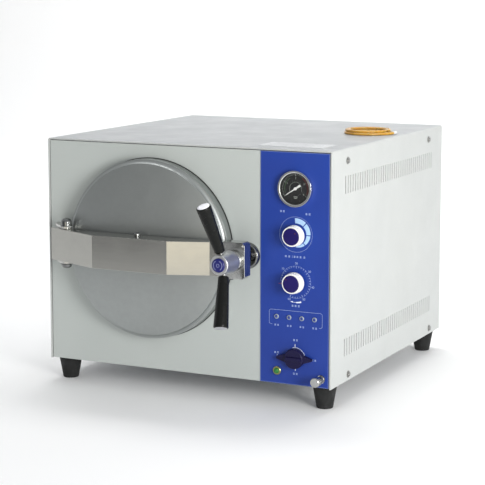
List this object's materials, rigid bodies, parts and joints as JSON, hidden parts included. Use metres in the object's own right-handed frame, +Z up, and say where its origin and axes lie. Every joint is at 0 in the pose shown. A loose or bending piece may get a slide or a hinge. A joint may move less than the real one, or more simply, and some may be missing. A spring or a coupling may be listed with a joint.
{
  "type": "benchtop autoclave",
  "caption": "Benchtop steam steriliser: box cabinet with a round clamped door on a swinging crossbar, trays inside, and a control column with gauge, dials and valve.",
  "frame": {"origin": "on the bench, under the middle of the whole object", "axes": "+Z up, -Y out of the front with the door, +X to the right seen from the front, on the control column's side"},
  "size_m": [0.4856, 0.6334, 0.3928],
  "materials": {
    "cover_paint": "off-white powder coat, fine orange peel",
    "front_paint": "pale grey-green satin powder coat",
    "zinc_sheet": "zinc plated sheet",
    "screw_steel": "nickel plated",
    "foot_rubber": "moulded black rubber",
    "plate_film": "printed film, blank",
    "stainless": "brushed stainless steel",
    "insulation": "glass fibre blanket",
    "chrome": "polished chrome",
    "overlay_blue": "blue printed film, satin",
    "gauge_black": "black",
    "dial_face": "black dial, printed scale",
    "clear_lens": "clear glass",
    "needle_white": "white",
    "inner_plastic": "dark moulded phenolic",
    "brass": "turned brass",
    "nickel": "nickel plated",
    "lamp_blue": "tinted lens",
    "black_plastic": "moulded black plastic",
    "copper": "copper tube",
    "hose_amber": "amber silicone tube",
    "fitting_white": "white plastic",
    "arm_steel": "brushed stainless sheet",
    "door_steel": "satin pressed stainless",
    "silicone": "white silicone",
    "steel_screw": "machined steel",
    "hub_metal": "satin nickel plated casting",
    "cap_blue": "blue plastic",
    "grip_black": "black phenolic",
    "knob_white": "ivory white plastic",
    "cap_indigo": "indigo printed insert",
    "selector_indigo": "dark indigo plastic",
    "button_green": "green plastic"
  },
  "bodies": {
    "cabinet": {"cover": "cover_paint", "front_panel": "front_paint", "rear_panel": "cover_paint", "base_tray": "zinc_sheet", "top_rails": "zinc_sheet", "case_screws": "screw_steel", "feet": "foot_rubber", "instruction_plate": "plate_film", "chamber_vessel": "stainless", "insulation_jacket": "insulation", "vessel_saddles": "zinc_sheet", "heating_element": "stainless", "tray_rack": "stainless", "trays": "stainless", "hinge_bracket": "stainless", "hinge_pin": "stainless", "hinge_nuts": "chrome", "latch_boss": "chrome", "control_overlay": "overlay_blue", "gauge_case": "gauge_black", "gauge_bezel": "chrome", "gauge_dial": "dial_face", "gauge_lens": "clear_lens", "pressure_controller": "inner_plastic", "timer_movement": "inner_plastic", "selector_valve": "brass", "indicator_lamps": "lamp_blue", "power_switch": "brass", "drain_cock_body": "nickel", "safety_valve_body": "brass", "power_inlet": "black_plastic", "water_tank": "stainless", "steam_pipes": "copper", "hose_coil": "hose_amber", "hose_fitting": "fitting_white"},
    "door": {"crossbar_arm": "arm_steel", "arm_end_block": "nickel", "door_lug": "stainless", "door_pivot_pin": "chrome", "door_dish": "door_steel", "door_pressure_plate": "stainless", "door_gasket": "silicone"},
    "clamp_collar": {"thrust_collar": "chrome"},
    "clamp_handle": {"clamp_screw": "steel_screw", "handle_hub": "hub_metal", "hub_cap": "cap_blue", "handle_rods": "stainless", "handle_grips": "grip_black"},
    "pressure_control": {"pressure_knob": "knob_white", "pressure_knob_cap": "cap_indigo", "pressure_spindle": "brass"},
    "timer_control": {"timer_knob": "knob_white", "timer_knob_cap": "cap_indigo", "timer_spindle": "brass"},
    "selector": {"selector_knob": "selector_indigo", "selector_stem": "brass"},
    "power_key": {"power_button": "button_green"},
    "drain_control": {"drain_cock_knob": "nickel"},
    "gauge_pointer": {"gauge_needle": "needle_white"},
    "relief_ring": {"safety_valve_ring": "brass"}
  },
  "joints": [
    {"name": "door_swing", "type": "hinge", "parent": "cabinet", "child": "door", "pos_m": [-0.188, -0.22435, 0.2235], "axis": [0, 0, -1], "range_deg": [0, 110]},
    {"name": "clamp_slide", "type": "slide", "parent": "door", "child": "clamp_collar", "axis": [0, -1, 0], "range_m": [0, 0.0101]},
    {"name": "clamp_turn", "type": "hinge", "parent": "clamp_collar", "child": "clamp_handle", "pos_m": [0.1055, -0.26835, 0.2235], "axis": [0, -1, 0], "range_deg": [0, 720]},
    {"name": "pressure_turn", "type": "hinge", "parent": "cabinet", "child": "pressure_control", "pos_m": [0.1835, -0.19835, 0.259], "axis": [0, 1, 0], "range_deg": [0, 270]},
    {"name": "timer_turn", "type": "hinge", "parent": "cabinet", "child": "timer_control", "pos_m": [0.1835, -0.19835, 0.1895], "axis": [0, 1, 0], "range_deg": [0, 300]},
    {"name": "selector_turn", "type": "hinge", "parent": "cabinet", "child": "selector", "pos_m": [0.1835, -0.19835, 0.076], "axis": [0, 1, 0], "range_deg": [0, 270]},
    {"name": "power_press", "type": "slide", "parent": "cabinet", "child": "power_key", "axis": [0, 1, 0], "range_m": [0, 0.002], "stiffness_N_per_m": 300, "springref_m": -0.001},
    {"name": "drain_turn", "type": "hinge", "parent": "cabinet", "child": "drain_control", "pos_m": [0.225, -0.21035, 0.0487], "axis": [0, -1, 0], "range_deg": [0, 360]},
    {"name": "gauge_sweep", "type": "hinge", "parent": "cabinet", "child": "gauge_pointer", "pos_m": [0.1835, -0.19435, 0.3275], "axis": [0, 1, 0], "range_deg": [0, 270], "stiffness_Nm_per_rad": 0.001},
    {"name": "relief_pull", "type": "slide", "parent": "cabinet", "child": "relief_ring", "axis": [0, 1, 0], "range_m": [0, 0.003], "stiffness_N_per_m": 2000, "springref_m": -0.002}
  ],
  "couplings": [
    {"joint": "clamp_slide", "follows": "clamp_turn", "m_per_rad": 0.00079577}
  ]
}
